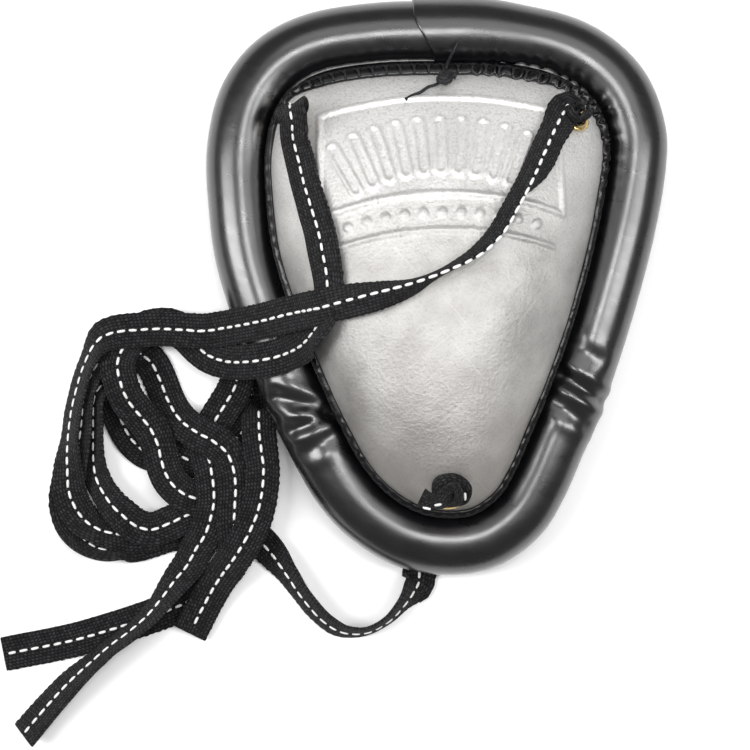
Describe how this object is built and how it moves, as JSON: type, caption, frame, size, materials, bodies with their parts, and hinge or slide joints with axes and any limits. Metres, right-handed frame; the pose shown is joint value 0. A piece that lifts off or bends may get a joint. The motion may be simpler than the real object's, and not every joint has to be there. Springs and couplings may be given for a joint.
{
  "type": "groin protector",
  "caption": "Metal-cup groin guard with a padded, vinyl-covered tubular rim and narrow stitched webbing tie straps threaded through eyelets.",
  "frame": {"origin": "middle of the guard's footprint, on the surface it lies on, straps not counted", "axes": "+Y towards the wearer's waist along the cup's length, +Z out of the cup's front face (away from the wearer), +X to the right as seen from in front"},
  "size_m": [0.25, 0.273, 0.07],
  "materials": {
    "cast_metal": "satin cast",
    "black_vinyl": "gloss",
    "grey_foam": "matte",
    "black_cord": "matte",
    "brass": "polished",
    "washer_steel": "brushed",
    "black_webbing": "matte woven"
  },
  "bodies": {
    "root": {"cup_shell": "cast_metal", "rim_foam": "grey_foam", "rim_cover": "black_vinyl", "front_hem": "black_vinyl", "rear_hem": "black_vinyl", "front_drawcord": "black_cord", "rear_drawcord": "black_cord", "drawcord_knot": "black_cord", "drawcord_tail": "black_cord", "drawcord_short_tail": "black_cord", "left_eyelet": "brass", "right_eyelet": "brass", "crotch_eyelet": "brass", "left_eyelet_washer": "washer_steel", "right_eyelet_washer": "washer_steel", "crotch_eyelet_washer": "washer_steel", "left_waist_strap": "black_webbing", "right_waist_strap": "black_webbing", "crotch_strap": "black_webbing", "left_strap_knot": "black_webbing", "right_strap_knot": "black_webbing", "crotch_strap_knot": "black_webbing"}
  },
  "joints": []
}
